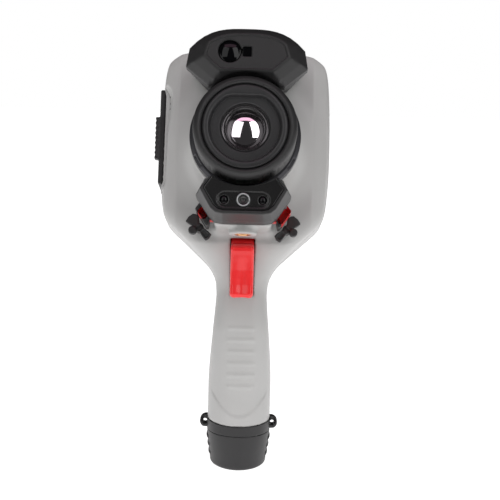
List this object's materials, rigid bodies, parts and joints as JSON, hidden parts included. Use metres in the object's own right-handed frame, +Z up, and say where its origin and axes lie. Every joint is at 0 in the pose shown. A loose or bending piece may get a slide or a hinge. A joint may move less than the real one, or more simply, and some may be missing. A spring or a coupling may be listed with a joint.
{
  "type": "thermal imaging camera",
  "caption": "Pistol-grip thermal imaging camera with a raked lens, focus ring, hooded windows, trigger, rear display and a slide-out battery.",
  "frame": {"origin": "centre of the flat base of the battery cap, under the grip", "axes": "+Z up along the grip; the lens looks towards -Y and is raked 16 degrees upwards; +X is to the right seen from the lens side"},
  "size_m": [0.1116, 0.1345, 0.2733],
  "materials": {
    "grey_shell": "fine satin texture",
    "soft_black": "soft-touch, fine grain",
    "black_plastic": "satin",
    "key_grey": "satin",
    "keypad_rubber": "matt",
    "gasket_rubber": "matt",
    "seal_rubber": "matt",
    "red_plastic": "gloss",
    "gunmetal": "anodised",
    "aluminium": "machined",
    "steel": "bright",
    "brass": "turned",
    "gold_package": "plated",
    "board": "solder mask",
    "germanium": "coated infrared lens",
    "dark_glass": "dark window",
    "display_glass": "anti-reflection cover glass",
    "lcd": "panel"
  },
  "bodies": {
    "root": {"front_shell": "grey_shell", "rear_shell": "grey_shell", "shell_gasket": "gasket_rubber", "shell_screws": "steel", "upper_hood": "soft_black", "camera_window": "dark_glass", "camera_module": "black_plastic", "lamp_window": "dark_glass", "lower_hood": "soft_black", "laser_module": "brass", "laser_bezel": "gunmetal", "range_lenses": "dark_glass", "range_board": "board", "hood_wings": "soft_black", "lens_collar": "gunmetal", "lens_barrel": "black_plastic", "lens_retainer": "black_plastic", "front_lens": "germanium", "shutter_motor": "gunmetal", "detector_module": "gold_package", "detector_board": "board", "main_board": "board", "chassis_frame": "aluminium", "lcd_panel": "lcd", "display_glass": "display_glass", "display_frame": "black_plastic", "keypad_board": "board", "keypad_plate": "keypad_rubber", "speaker": "black_plastic", "port_panel": "black_plastic", "usb_socket": "steel", "hdmi_socket": "steel", "memory_card": "black_plastic", "door_pin": "steel", "trigger_pin": "steel", "trigger_switch": "black_plastic", "tripod_insert": "brass", "strap_anchors": "soft_black", "lug_ring": "soft_black", "contact_block": "gold_package"},
    "focus_ring": {"focus_ring": "soft_black"},
    "focus_cell": {"lens_cell": "aluminium", "rear_lens": "germanium", "focus_pin": "steel"},
    "shutter": {"shutter_flag": "steel"},
    "port_door": {"port_door": "soft_black"},
    "trigger": {"trigger": "red_plastic"},
    "battery": {"battery_pack": "black_plastic", "battery_cap": "soft_black", "battery_seal": "seal_rubber"},
    "left_latch": {"left_latch": "soft_black"},
    "right_latch": {"right_latch": "soft_black"},
    "nav_carrier": {"nav_pivot": "gunmetal"},
    "nav_ring": {"nav_ring": "key_grey"},
    "ok_key": {"ok_key": "key_grey"},
    "gallery_key": {"gallery_key": "key_grey"},
    "back_key": {"back_key": "key_grey"},
    "power_key": {"power_key": "key_grey"},
    "left_release": {"left_release": "red_plastic"},
    "right_release": {"right_release": "red_plastic"}
  },
  "joints": [
    {"name": "focus_turn", "type": "hinge", "parent": "root", "child": "focus_ring", "pos_m": [0, -0.05817, 0.21681], "axis": [0, -0.9613, 0.2756], "range_deg": [-45, 45]},
    {"name": "focus_slide", "type": "slide", "parent": "root", "child": "focus_cell", "axis": [0, -0.9613, 0.2756], "range_m": [-0.0025, 0.0025]},
    {"name": "shutter_swing", "type": "hinge", "parent": "root", "child": "shutter", "pos_m": [0, -0.03444, 0.18712], "axis": [0, 0.9613, -0.2756], "range_deg": [0, 50]},
    {"name": "door_swing", "type": "hinge", "parent": "root", "child": "port_door", "pos_m": [-0.0535, 0.03448, 0.20252], "axis": [0, -0.2756, -0.9613], "range_deg": [0, 110]},
    {"name": "trigger_pull", "type": "hinge", "parent": "root", "child": "trigger", "pos_m": [0, -0.022, 0.15], "axis": [1, 0, 0], "range_deg": [0, 6], "stiffness_Nm_per_rad": 0.9, "springref_deg": -6.88},
    {"name": "battery_slide", "type": "slide", "parent": "root", "child": "battery", "axis": [0, 0, -1], "range_m": [0, 0.088]},
    {"name": "left_latch_press", "type": "slide", "parent": "battery", "child": "left_latch", "axis": [1, 0, 0], "range_m": [0, 0.0015], "stiffness_N_per_m": 1200, "springref_m": -0.001},
    {"name": "right_latch_press", "type": "slide", "parent": "battery", "child": "right_latch", "axis": [-1, 0, 0], "range_m": [0, 0.0015], "stiffness_N_per_m": 1200, "springref_m": -0.001},
    {"name": "nav_rock_up_down", "type": "hinge", "parent": "root", "child": "nav_carrier", "pos_m": [0, 0.02304, 0.15898], "axis": [1, 0, 0], "range_deg": [-2.5, 2.5], "stiffness_Nm_per_rad": 0.5},
    {"name": "nav_rock_left_right", "type": "hinge", "parent": "nav_carrier", "child": "nav_ring", "pos_m": [0, 0.02304, 0.15898], "axis": [0, 0.2756, 0.9613], "range_deg": [-2.5, 2.5], "stiffness_Nm_per_rad": 0.5},
    {"name": "ok_press", "type": "slide", "parent": "root", "child": "ok_key", "axis": [0, -0.9613, 0.2756], "range_m": [0, 0.0008], "stiffness_N_per_m": 800, "springref_m": -0.0006},
    {"name": "gallery_press", "type": "slide", "parent": "root", "child": "gallery_key", "axis": [0, -0.9613, 0.2756], "range_m": [0, 0.0008], "stiffness_N_per_m": 800, "springref_m": -0.0006},
    {"name": "back_press", "type": "slide", "parent": "root", "child": "back_key", "axis": [0, -0.9613, 0.2756], "range_m": [0, 0.0008], "stiffness_N_per_m": 800, "springref_m": -0.0006},
    {"name": "power_press", "type": "slide", "parent": "root", "child": "power_key", "axis": [0, -0.9613, 0.2756], "range_m": [0, 0.0008], "stiffness_N_per_m": 800, "springref_m": -0.0006},
    {"name": "left_release_press", "type": "slide", "parent": "root", "child": "left_release", "axis": [1, 0, 0], "range_m": [0, 0.001], "stiffness_N_per_m": 1500, "springref_m": -0.001},
    {"name": "right_release_press", "type": "slide", "parent": "root", "child": "right_release", "axis": [-1, 0, 0], "range_m": [0, 0.001], "stiffness_N_per_m": 1500, "springref_m": -0.001}
  ],
  "couplings": [
    {"joint": "focus_slide", "follows": "focus_turn", "m_per_rad": 0.0031831}
  ]
}
